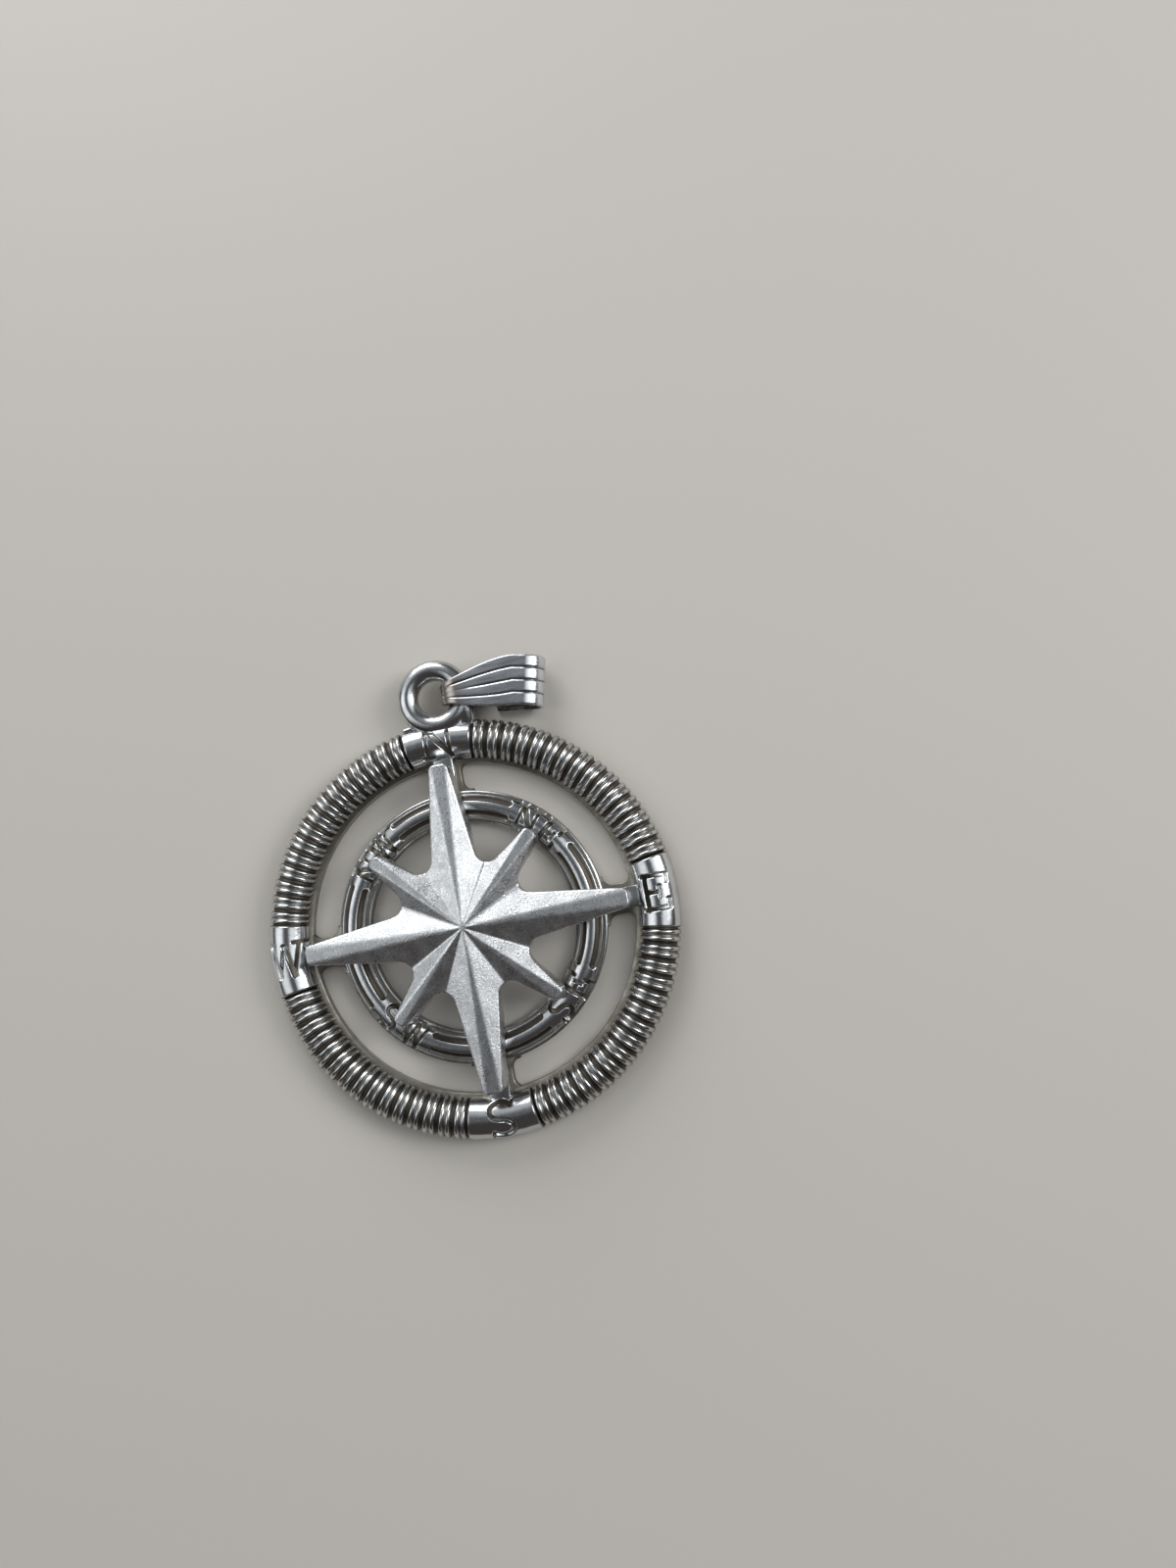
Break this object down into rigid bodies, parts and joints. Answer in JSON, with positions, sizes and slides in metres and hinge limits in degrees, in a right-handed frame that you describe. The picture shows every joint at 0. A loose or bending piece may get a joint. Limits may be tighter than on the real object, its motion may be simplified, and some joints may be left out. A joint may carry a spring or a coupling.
{
  "type": "compass pendant",
  "caption": "Round compass pendant: a ribbed ring with compass letters, a slotted inner ring, a raised faceted star across both, and a hinged bail for a chain.",
  "frame": {"origin": "centre of the overall outline on the flat back, which lies at Z = 0; the rings' own centre is 2.245 mm south of it", "axes": "+Y towards north, where the loop is; +X towards east, where the bail lies; +Z out of the front, up when the pendant lies on its back"},
  "size_m": [0.0304, 0.0348, 0.0043],
  "materials": {
    "aged_casting": "polished plated casting with darker, slightly brown recesses",
    "satin_star": "pale fine-grained satin facets with a cooler, smoother flat along each ridge",
    "bright_strip": "polished plated strip with fine scratches"
  },
  "bodies": {
    "pendant": {"frame": "aged_casting", "star": "satin_star"},
    "bail": {"bail": "bright_strip"}
  },
  "joints": [
    {"name": "bail_swing", "type": "hinge", "parent": "pendant", "child": "bail", "pos_m": [0.00215, 0.01463, 0.00144], "axis": [0, -1, 0], "range_deg": [0, 90]}
  ]
}
